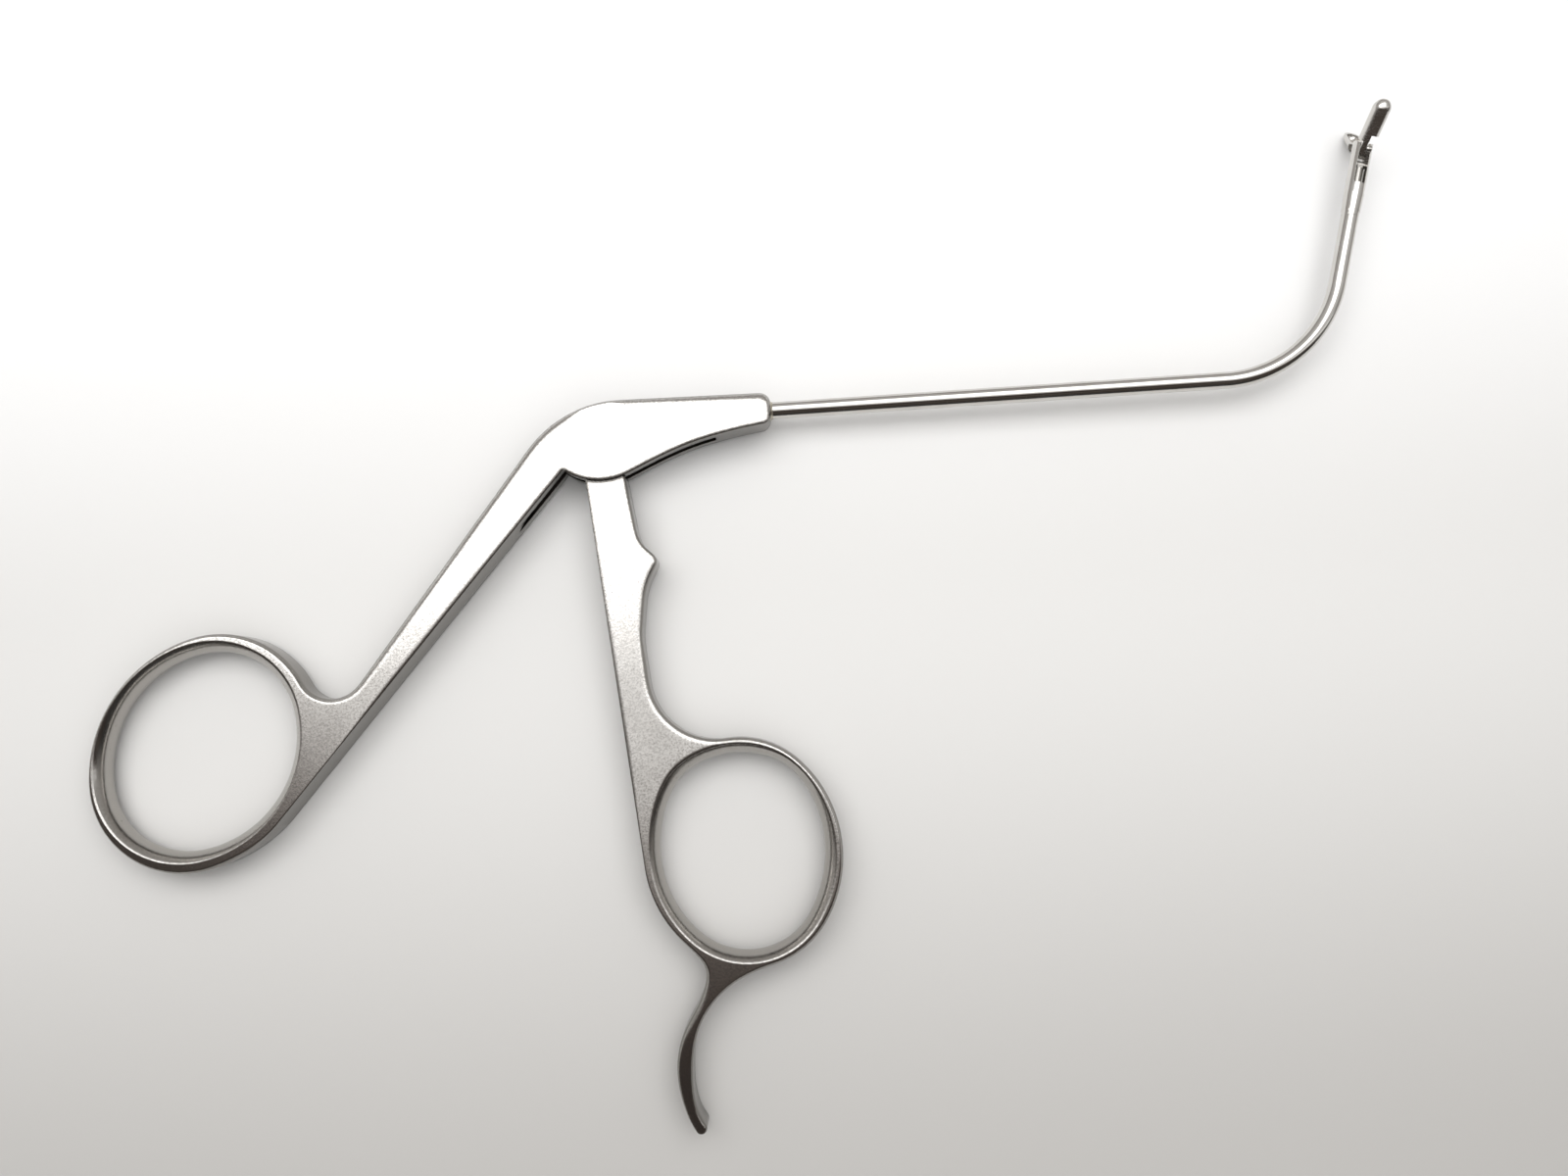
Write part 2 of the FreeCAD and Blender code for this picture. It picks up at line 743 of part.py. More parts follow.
def make_link(side):
    """A toggle link from the crosshead pin to the tail pin, in the outer layer of the slot."""
    rest_tilt = math.degrees(math.asin(-open_z / link_len))
    link = across_leg(link_end_r, layer_split, neck_out, link_len, 0).fuse([
        across_leg(link_end_r - link_slim, layer_split, neck_out, 0, 0),
        box(0, link_len, layer_split, neck_out, -link_body, link_body),
    ])
    eye_r = tail_pin_r + running_fit
    n0 = layer_split - over
    n1 = neck_out + over
    link = link.cut([
        across_leg(eye_r, n0, n1, 0, 0),
        across_leg(eye_r, n0, n1, link_len, 0),
        across_leg(eye_r, n0, n1, link_len, -eye_slack),
        box(link_len - eye_r, link_len + eye_r, n0, n1, -eye_slack, 0),
    ])
    link = link.removeSplitter()
    link.rotate(origin, Y, rest_tilt)
    link.translate(X * cross_open)
    if side < 0:
        link.rotate(origin, X, 180)
    return link


upper_link = make_link(1)
lower_link = make_link(-1)

# Crosshead: flat tongue, guide and shank.
tongue_r = link_end_r + tongue_room
guide_start = cross_open - tongue_r - guide_room
crosshead = across_leg(tongue_r, -tongue_half, tongue_half, cross_open, 0)
crosshead = crosshead.fuse([
    box(guide_start - head_lap, cross_open, -tongue_half, tongue_half, -tongue_h, tongue_h),
    along_leg(guide_r - side_play, -clevis_len + over, guide_start),
    along_leg(rod_r, -shank_end, -clevis_len + over),
]).removeSplitter()
crosshead = crosshead.cut(across_leg(tail_pin_r + pin_fit, -past, past, cross_open, 0))
crosshead_pin = across_leg(tail_pin_r, -neck_out, neck_out, cross_open, 0)

# Drive line: rod head, rod, crimped sleeves and the flexible wire in the bend.
head_z = mid_z - head_t / 2
knee = V(head_knee_x, 0, 0)
socket_x = rod_start_x - head_lap
rod_head = disc(tang_pin_at, head_eye_r, head_z, head_t).fuse([
    strip(tang_pin_at, knee, head_half, head_z, head_t),
    disc(knee, head_half, head_z, head_t),
    strip(knee, V(rod_start_x + head_lap, 0, 0), head_half, head_z, head_t),
    Part.makeCylinder(head_socket_r, head_socket_len, V(socket_x, 0, mid_z), X),
]).removeSplitter()
rod_head = rod_head.cut(disc(tang_pin_at, tang_pin_r + eye_play, head_z - over, head_t + 2 * over))
rod_bore = rod_r + pin_fit
rod_start = V(rod_start_x, 0, mid_z)
rod_end = V(bend_start.x - rod_stop, 0, mid_z)
rod_head = rod_head.cut(Part.makeCylinder(rod_bore, head_socket_len, rod_start - X * pin_fit, X))
drive_rod = Part.makeCylinder(rod_r, (rod_end - rod_start).Length, rod_start, X)
near_sleeve_at = rod_end - X * sleeve_grip
near_sleeve = Part.makeCylinder(sleeve_r, sleeve_len, near_sleeve_at, X)
near_sleeve = near_sleeve.cut(Part.makeCylinder(rod_bore, sleeve_grip + pin_fit, near_sleeve_at, X))
wire_bore = wire_r + running_fit
near_sleeve = near_sleeve.cut(Part.makeCylinder(wire_bore, sleeve_len, near_sleeve_at, X))
far_start = -shank_end + sleeve_grip - sleeve_len
far_sleeve = along_leg(sleeve_r, far_start, far_start + sleeve_len)
far_sleeve = far_sleeve.cut(along_leg(rod_bore, -shank_end - pin_fit, 0))
far_sleeve = far_sleeve.cut(along_leg(wire_bore, far_start - over, -shank_end))
wire_start = rod_end + X * wire_gap
wire_end = jaw_pivot - leg_dir * (shank_end + stroke + wire_gap)
flex_wire = bent_rod(wire_r, wire_start, wire_end)

nodes = {
    "fixed_handle": fixed_handle,
    "handle_pivot_pin": pivot_pin,
    "moving_handle": moving_handle,
    "tang_pin": tang_pin,
    "shaft_tube": shaft_tube,
    "jaw_clevis": on_leg(clevis),
    "jaw_pivot_pin": on_leg(jaw_pin),
    "upper_jaw": on_leg(upper_jaw),
    "upper_tail_pin": on_leg(upper_tail_pin),
    "lower_jaw": on_leg(lower_jaw),
    "lower_tail_pin": on_leg(lower_tail_pin),
    "upper_link": on_leg(upper_link),
    "lower_link": on_leg(lower_link),
    "crosshead": on_leg(crosshead),
    "crosshead_pin": on_leg(crosshead_pin),
    "rod_head": rod_head,
    "drive_rod": drive_rod,
    "proximal_sleeve": near_sleeve,
    "distal_sleeve": on_leg(far_sleeve),
    "flex_wire": flex_wire,
}
os.makedirs("parts", exist_ok=True)
for name, shape in nodes.items():
    solids = shape.Solids
    solid = solids[0] if len(solids) == 1 else shape
    print(f"{name}: {len(solids)} solid, valid {solid.isValid()}, {solid.Volume:.2f} mm3")
    solid.exportStep(os.path.join("parts", name + ".step"))
print(f"stroke {stroke:.4f}, tang arm {tang_arm:.4f}, jaw pivot {jaw_pivot.x:.4f} {jaw_pivot.y:.4f}")
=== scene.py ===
"""Ring-handled forceps with a bent tubular shaft and two spoon jaws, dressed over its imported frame."""

import logging
import math
from dataclasses import dataclass
from enum import Enum

import bmesh
import bpy
import numpy as np
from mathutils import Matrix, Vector

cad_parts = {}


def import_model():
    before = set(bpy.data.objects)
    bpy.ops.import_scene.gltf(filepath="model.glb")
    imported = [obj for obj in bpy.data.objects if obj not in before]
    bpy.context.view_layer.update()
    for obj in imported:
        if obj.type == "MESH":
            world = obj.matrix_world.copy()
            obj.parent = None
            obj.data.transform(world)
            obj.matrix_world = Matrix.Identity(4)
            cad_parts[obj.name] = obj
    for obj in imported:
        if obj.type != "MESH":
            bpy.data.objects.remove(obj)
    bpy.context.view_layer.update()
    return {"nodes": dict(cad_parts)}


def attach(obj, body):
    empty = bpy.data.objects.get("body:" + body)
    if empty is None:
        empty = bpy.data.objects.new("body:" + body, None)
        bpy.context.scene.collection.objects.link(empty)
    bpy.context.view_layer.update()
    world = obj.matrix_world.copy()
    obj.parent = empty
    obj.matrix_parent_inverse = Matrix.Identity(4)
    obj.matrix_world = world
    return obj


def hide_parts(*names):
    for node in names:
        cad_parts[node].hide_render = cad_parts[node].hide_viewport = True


LOG = logging.getLogger("forceps")
MM = 0.001
# Height of the handles' and the shaft's middle plane above the underside
MIDDLE_MM = 2.75
# Most of a noise's values lie in this range
NOISE_SPAN = (0.3, 0.7)
# Faces that meet at more than this angle keep a sharp edge
GRID_CREASE_DEG = 35.0


class Slot(Enum):
    """The record's material slots, which say how each piece is finished."""

    HANDLES = "satin_steel"
    SHAFT = "polished_steel"
    SPOONS = "jaw_steel"
    WORKINGS = "inner_steel"


class Body(Enum):
    """The bodies that the new pieces ride on."""

    FRAME = "handle_frame"
    LEVER = "lever"


def linear(code: str) -> tuple[float, float, float, float]:
    """Turns an sRGB hex colour into linear RGBA.

    Args:
        code: six hex digits after a hash.

    Returns:
        Linear red, green and blue, with an alpha of 1.
    """
    values = [int(code[i : i + 2], 16) / 255 for i in (1, 3, 5)]
    red, green, blue = (v / 12.92 if v <= 0.04045 else ((v + 0.055) / 1.055) ** 2.4 for v in values)
    return red, green, blue, 1.0


def per_metre(size_mm: float) -> float:
    """Texture scale at which one cell of a pattern measures this many millimetres."""
    return 1.0 / (size_mm * MM)


def add_node(
    tree: bpy.types.NodeTree,
    kind: str,
    inputs: dict[str | int, object] | None = None,
    **settings: object,
) -> bpy.types.Node:
    """Adds one node with its settings, and feeds its inputs.

    Args:
        tree: the node tree that takes the node.
        kind: the node's type name.
        inputs: what each input gets, by name or place: a socket that is linked to it, or a value.
        **settings: the node's own properties.

    Returns:
        The new node.
    """
    node = tree.nodes.new(kind)
    for key, value in settings.items():
        setattr(node, key, value)
    for key, value in (inputs or {}).items():
        if isinstance(value, bpy.types.NodeSocket):
            tree.links.new(value, node.inputs[key])
        else:
            node.inputs[key].default_value = value
    return node


def split(tree: bpy.types.NodeTree, vector: bpy.types.NodeSocket, axis: str) -> bpy.types.NodeSocket:
    """One axis of a vector, by its letter."""
    return add_node(tree, "ShaderNodeSeparateXYZ", {"Vector": vector}).outputs[axis]


def calculate(
    tree: bpy.types.NodeTree,
    operation: str,
    *terms: float | bpy.types.NodeSocket,
) -> bpy.types.NodeSocket:
    """Works out one sum.

    Args:
        tree: the node tree.
        operation: the sum's name.
        *terms: its numbers or sockets, in order.

    Returns:
        The result's socket.
    """
    return add_node(tree, "ShaderNodeMath", dict(enumerate(terms)), operation=operation).outputs[0]


def remap(
    tree: bpy.types.NodeTree,
    value: bpy.types.NodeSocket,
    source: tuple[float, float],
    target: tuple[float, float] = (0.0, 1.0),
) -> bpy.types.NodeSocket:
    """Maps a value from one range onto another and holds it there.

    Args:
        tree: the node tree.
        value: the socket that gives the value.
        source: the range that it comes from.
        target: the range that it goes to.

    Returns:
        The mapped value's socket.
    """
    inputs = {
        "Value": value,
        "From Min": source[0],
        "From Max": source[1],
        "To Min": target[0],
        "To Max": target[1],
    }
    return add_node(tree, "ShaderNodeMapRange", inputs).outputs[0]


def noise(
    tree: bpy.types.NodeTree,
    place: bpy.types.NodeSocket,
    scale: float,
    detail: float,
    roughness: float = 0.5,
) -> bpy.types.NodeSocket:
    """Adds a noise pattern.

    Args:
        tree: the node tree.
        place: the coordinates that it is read at.
        scale: its scale.
        detail: how many finer layers it has.
        roughness: how strong each finer layer is beside the one before.

    Returns:
        The pattern's socket.
    """
    inputs = {"Vector": place, "Scale": scale, "Detail": detail, "Roughness": roughness}
    return add_node(tree, "ShaderNodeTexNoise", inputs).outputs["Fac"]


def mix_colours(
    tree: bpy.types.NodeTree,
    first: str | bpy.types.NodeSocket,
    second: str | bpy.types.NodeSocket,
    share: bpy.types.NodeSocket,
) -> bpy.types.NodeSocket:
    """Mixes two colours.

    Args:
        tree: the node tree.
        first: the colour at a share of 0, as a hex code or a socket.
        second: the colour at a share of 1, as a hex code or a socket.
        share: the socket that gives the share.

    Returns:
        The mixed colour's socket.
    """
    first, second = (linear(c) if isinstance(c, str) else c for c in (first, second))
    # A mix of colours has its two colours on inputs 6 and 7 and its result on output 2
    inputs = {"Factor": share, 6: first, 7: second}
    return add_node(tree, "ShaderNodeMix", inputs, data_type="RGBA").outputs[2]


def bump(
    tree: bpy.types.NodeTree,
    height: bpy.types.NodeSocket,
    depth_mm: float,
    strength: float | bpy.types.NodeSocket,
    normal: bpy.types.NodeSocket | None = None,
) -> bpy.types.NodeSocket:
    """Roughens a surface by a pattern.

    Args:
        tree: the node tree.
        height: the pattern.
        depth_mm: how deep it goes, in millimetres.
        strength: how much of it shows.
        normal: the normal that it starts from, or None for the surface's own.

    Returns:
        The new normal's socket.
    """
    inputs = {"Height": height, "Distance": depth_mm * MM, "Strength": strength}
    if normal is not None:
        inputs["Normal"] = normal
    return add_node(tree, "ShaderNodeBump", inputs).outputs[0]


def colour_ramp(
    tree: bpy.types.NodeTree,
    share: bpy.types.NodeSocket,
    stops: list[tuple[float, str]],
    interpolation: str = "LINEAR",
) -> bpy.types.NodeSocket:
    """Reads a colour off a row of stops.

    Args:
        tree: the node tree.
        share: the socket that says where to read, from 0 to 1.
        stops: the place and hex colour of each stop, in order.
        interpolation: how one colour runs into the next.

    Returns:
        The colour's socket.
    """
    node = add_node(tree, "ShaderNodeValToRGB", {"Fac": share})
    node.color_ramp.interpolation = interpolation
    elements = node.color_ramp.elements
    first, *between, last = stops
    for element, (at, code) in zip(elements, (first, last), strict=True):
        element.position = at
        element.color = linear(code)
    for at, code in between:
        elements.new(at).color = linear(code)
    return node.outputs["Color"]


def new_material(name: str) -> tuple[bpy.types.Material, bpy.types.NodeTree]:
    """Makes an empty node material.

    Args:
        name: the material's name.

    Returns:
        The material and its node tree.
    """
    material = bpy.data.materials.new(name)
    material.use_nodes = True
    material.node_tree.nodes.clear()
    return material, material.node_tree


def close_tree(tree: bpy.types.NodeTree, shader: bpy.types.Node) -> None:
    """Joins a surface shader to the tree's output."""
    add_node(tree, "ShaderNodeOutputMaterial", {"Surface": shader.outputs[0]})


def close_metal(
    tree: bpy.types.NodeTree,
    tone: bpy.types.NodeSocket,
    rough: bpy.types.NodeSocket,
    normal: bpy.types.NodeSocket,
) -> None:
    """Ends a tree with a bare metal surface.

    Args:
        tree: the node tree.
        tone: the socket of its colour.
        rough: the socket of its roughness.
        normal: the socket of its normal.
    """
    inputs = {"Metallic": 1.0, "Base Color": tone, "Roughness": rough, "Normal": normal}
    close_tree(tree, add_node(tree, "ShaderNodeBsdfPrincipled", inputs))


@dataclass(frozen=True)
class BlastedSteel:
    """Martensitic stainless steel, bead-blasted.

    The ground faces are pale with a fine grain, the sides are greyer and smoother and carry painted shade,
    and the edges between them are crisp and bright. Slots and inner corners are darkened with painted shade.
    Sizes are in millimetres.
    Each span is the range of a pattern or a direction over which one look gives way to the next.
    """

    name: str = "bead_blasted_stainless_steel"
    face: str = "#DEDCD9"
    cloud: str = "#C2BFBB"
    # The sides' grey is partly their own smoother finish and partly painted shade of the shadowed table that
    # they mirror
    side: str = "#86837F"
    speck: str = "#9A9793"
    pit: str = "#5E5A55"
    # Painted shade laid into slots and inner corners
    crevice_shade: str = "#24201D"
    ground_span: tuple[float, float] = (0.5, 0.85)
    speck_span: tuple[float, float] = (0.42, 0.68)
    speck_share: float = 0.8
    pit_span: tuple[float, float] = (0.025, 0.06)
    pit_share: float = 0.8
    open_span: tuple[float, float] = (0.3, 0.75)
    roughness: float = 0.16
    roughness_spread: float = 0.05
    grain_mm: float = 0.3
    grain_depth_mm: float = 0.009
    side_grain_share: float = 0.35
    crevice_mm: float = 2.5
    cloud_mm: float = 7.0
    pit_mm: float = 2.2
    edge_mm: float = 0.35
    wide_edge_mm: float = 1.0
    wide_up_to_mm: float = 50.0
    narrow_from_mm: float = 62.0
    unbroken_up_to_mm: float = 3.0
    broken_from_mm: float = 5.0
    slot_half_mm: float = 1.1
    slot_clear_mm: float = 1.3

    def make(self) -> bpy.types.Material:
        """Builds the material: bead craters, slow clouds of tone, sparse pits and broken edges.

        Returns:
            The material.
        """
        material, tree = new_material(self.name)
        coords = add_node(tree, "ShaderNodeTexCoord")
        place = coords.outputs["Object"]
        # Bead craters are about 0.05 mm; drawn some six times as coarse so that they show
        grain = noise(tree, place, per_metre(self.grain_mm), detail=4.0, roughness=0.65)
        # 1 on the ground faces, which look up or down, and 0 on the sides
        lift = calculate(tree, "ABSOLUTE", split(tree, coords.outputs["Normal"], "Z"))
        ground = remap(tree, lift, self.ground_span)
        low, high = self.roughness - self.roughness_spread, self.roughness + self.roughness_spread
        strength = remap(tree, ground, (0.0, 1.0), (self.side_grain_share, 1.0))
        close_metal(
            tree,
            self.tone(tree, place, grain, ground),
            remap(tree, grain, NOISE_SPAN, (low, high)),
            bump(tree, grain, self.grain_depth_mm, strength, self.edges(tree, place)),
        )
        return material

    def tone(
        self,
        tree: bpy.types.NodeTree,
        place: bpy.types.NodeSocket,
        grain: bpy.types.NodeSocket,
        ground: bpy.types.NodeSocket,
    ) -> bpy.types.NodeSocket:
        """Mixes the metal's colour, with painted shade on its sides, slots and inner corners.

        Args:
            tree: the node tree.
            place: the coordinates on the object.
            grain: the pattern of bead craters.
            ground: 1 on the ground faces and 0 on the sides.

        Returns:
            The colour's socket.
        """
        cloud = noise(tree, place, per_metre(self.cloud_mm), detail=4.0, roughness=0.55)
        clouded = mix_colours(tree, self.face, self.cloud, cloud)
        specks = remap(tree, grain, self.speck_span, (0.0, self.speck_share))
        grained = mix_colours(tree, clouded, self.speck, specks)
        # The sides take their darker tone, partly painted shade
        sided = mix_colours(tree, self.side, grained, ground)
        cells = {"Vector": place, "Scale": per_metre(self.pit_mm), "Randomness": 1.0}
        from_centre = add_node(tree, "ShaderNodeTexVoronoi", cells).outputs["Distance"]
        pits = remap(tree, from_centre, self.pit_span, (self.pit_share, 0.0))
        pitted = mix_colours(tree, sided, self.pit, pits)
        # Painted shade: slots and inner corners are darkened by how little open sky they see
        reach = {"Distance": self.crevice_mm * MM}
        open_sky = add_node(tree, "ShaderNodeAmbientOcclusion", reach, samples=8).outputs["AO"]
        crevice_shaded = mix_colours(tree, self.crevice_shade, pitted, remap(tree, open_sky, self.open_span))
        # Painted shade: at mid height only the walls of the tang's slot look up or down, and they are
        # darkened as the slot's shaded inside
        height = calculate(tree, "SUBTRACT", split(tree, place, "Z"), MIDDLE_MM * MM)
        off_middle = calculate(tree, "ABSOLUTE", height)
        inner = remap(tree, off_middle, (self.slot_half_mm * MM, self.slot_clear_mm * MM), (1.0, 0.0))
        return mix_colours(tree, crevice_shaded, self.crevice_shade, calculate(tree, "MULTIPLY", inner, ground))

    def edges(self, tree: bpy.types.NodeTree, place: bpy.types.NodeSocket) -> bpy.types.NodeSocket:
        """Breaks the edges by a radius that goes by the level distance from the pivot's axis, which is Z.

        Args:
            tree: the node tree.
            place: the coordinates on the object.

        Returns:
            The socket of the rounded normal.
        """
        level = add_node(tree, "ShaderNodeVectorMath", {0: place, 1: (1.0, 1.0, 0.0)}, operation="MULTIPLY")
        length = add_node(tree, "ShaderNodeVectorMath", {0: level.outputs[0]}, operation="LENGTH")
        away = length.outputs["Value"]
        # The pivot pin is ground flush with its hole, so no edge is broken next to it
        broken = remap(tree, away, (self.unbroken_up_to_mm * MM, self.broken_from_mm * MM))
        # The nose, arm and lever have wider rounded edges than the rings
        width = remap(
            tree,
            away,
            (self.wide_up_to_mm * MM, self.narrow_from_mm * MM),
            (self.wide_edge_mm * MM, self.edge_mm * MM),
        )
        radius = calculate(tree, "MULTIPLY", broken, width)
        return add_node(tree, "ShaderNodeBevel", {"Radius": radius}, samples=12).outputs[0]


@dataclass(frozen=True)
class PolishedSteel:
    """Stainless steel polished on a wheel or drawn through a die.

    It mirrors its surroundings in soft bands, blurred a little along fine lines that run one way.
    """

    name: str
    face: str = "#D9D7D4"
    shade: str = "#C4C1BC"
    roughness: float = 0.13
    line_mm: float = 0.12
    line_stretch: float = 40.0
    line_depth_mm: float = 0.001
    line_strength: float = 0.5
    line_contrast: tuple[float, float] = (0.75, 1.35)
    cloud_mm: float = 4.0
    edge_mm: float = 0.04
    along_uv: bool = False

    def make(self) -> bpy.types.Material:
        """Builds the material: stretched noise for the polishing lines, in roughness and bump.

        Returns:
            The material.
        """
        material, tree = new_material(self.name)
        coords = add_node(tree, "ShaderNodeTexCoord")
        fine = per_metre(self.line_mm)
        stretch = {
            "Vector": coords.outputs["UV" if self.along_uv else "Object"],
            "Scale": (fine / self.line_stretch, fine, fine),
        }
        stretched = add_node(tree, "ShaderNodeMapping", stretch).outputs[0]
        lines = noise(tree, stretched, 1.0, detail=3.0, roughness=0.6)
        cloud = noise(tree, coords.outputs["Object"], per_metre(self.cloud_mm), detail=3.0)
        low, high = (self.roughness * share for share in self.line_contrast)
        edge = add_node(tree, "ShaderNodeBevel", {"Radius": self.edge_mm * MM}, samples=4).outputs[0]
        close_metal(
            tree,
            mix_colours(tree, self.face, self.shade, cloud),
            remap(tree, lines, NOISE_SPAN, (low, high)),
            bump(tree, lines, self.line_depth_mm, self.line_strength, edge),
        )
        return material


@dataclass(frozen=True)
class PaleTable:
    """Matt white laminate: a pale table top, with painted shade that turns it a warm grey towards its near
    edge.
    """

    name: str = "matt_white_laminate"
    # Painted shade: the tones darken from far to near, standing in for the softbox's light falling off
    near: str = "#C8C6C3"
    middle: str = "#EAE9E7"
    far: str = "#FDFDFD"
    near_mm: float = -125.0
    middle_mm: float = -30.0
    far_mm: float = 35.0
    mottle_mm: float = 0.4
    mottle_depth_mm: float = 0.004
    mottle_strength: float = 0.3
    roughness: float = 0.6
    sheen: float = 0.25

    def make(self) -> bpy.types.Material:
        """Builds the material: painted shade that darkens it along Y towards the near edge, and a faint
        mottle.

        Returns:
            The material.
        """
        material, tree = new_material(self.name)
        place = add_node(tree, "ShaderNodeTexCoord").outputs["Object"]
        # Painted shade, read along Y
        along = remap(tree, split(tree, place, "Y"), (self.near_mm * MM, self.far_mm * MM))
        middle_at = (self.middle_mm - self.near_mm) / (self.far_mm - self.near_mm)
        stops = [(0.0, self.near), (middle_at, self.middle), (1.0, self.far)]
        mottle = noise(tree, place, per_metre(self.mottle_mm), detail=2.0)
        inputs = {
            "Base Color": colour_ramp(tree, along, stops, "EASE"),
            "Roughness": self.roughness,
            "Specular IOR Level": self.sheen,
            "Normal": bump(tree, mottle, self.mottle_depth_mm, self.mottle_strength),
        }
        close_tree(tree, add_node(tree, "ShaderNodeBsdfPrincipled", inputs))
        return material


def lay_grid(
    name: str,
    points: np.ndarray,
    closed: bool,
    uv: np.ndarray | None = None,
) -> bpy.types.Object:
    """Lays quads over a grid of points, turned so that their faces point outwards.

    Each face joins point (i, j) with its neighbours (i + 1, j), (i + 1, j + 1) and (i, j + 1). The signed
    volume of a closed shape, a sixth of the sum of each triangle's triple product, is negative if it is
    inside out.

    Args:
        name: the new object's name.
        points: rows by columns by 3, in millimetres in the row frame.
        closed: whether the last row joins the first, and the last column too.
        uv: rows by columns by 2, in metres, or None.

    Returns:
        The new object, at the origin, smooth with sharp creases.
    """
    rows, columns = points.shape[:2]
    i = np.arange(rows if closed else rows - 1)[:, None]
    j = np.arange(columns if closed else columns - 1)[None, :]
    i2, j2 = (i + 1) % rows, (j + 1) % columns
    corners = [i * columns + j, i2 * columns + j, i2 * columns + j2, i * columns + j2]
    quads = np.stack(corners, axis=-1).reshape(-1, 4)
    flat = points.reshape(-1, 3) * MM
    a, b, c, d = (flat[quads[:, k]] for k in range(4))
    volume = np.einsum("ij,ij->", a, np.cross(b, c)) + np.einsum("ij,ij->", a, np.cross(c, d))
    if volume < 0:
        quads = quads[:, ::-1]
    mesh = bpy.data.meshes.new(name)
    mesh.from_pydata(flat, [], quads)
    if uv is not None:
        spread = uv.reshape(-1, 2)[quads.ravel()]
        mesh.uv_layers.new(name="along").uv.foreach_set("vector", spread.astype(np.float32).ravel())
    mesh.polygons.foreach_set("use_smooth", np.ones(len(quads), bool))
    mesh.set_sharp_from_angle(angle=math.radians(GRID_CREASE_DEG))
    piece = bpy.data.objects.new(name, mesh)
    bpy.context.scene.collection.objects.link(piece)
    return piece


def dress(piece: bpy.types.Object, material: bpy.types.Material) -> None:
    """Gives a piece its material in every slot, or in a first one.

    Args:
        piece: the piece, whose mesh stays as it is.
        material: its material.
    """
    if not piece.data.materials:
        piece.data.materials.append(material)
    for holder in piece.material_slots:
        holder.link = "OBJECT"
        holder.material = material


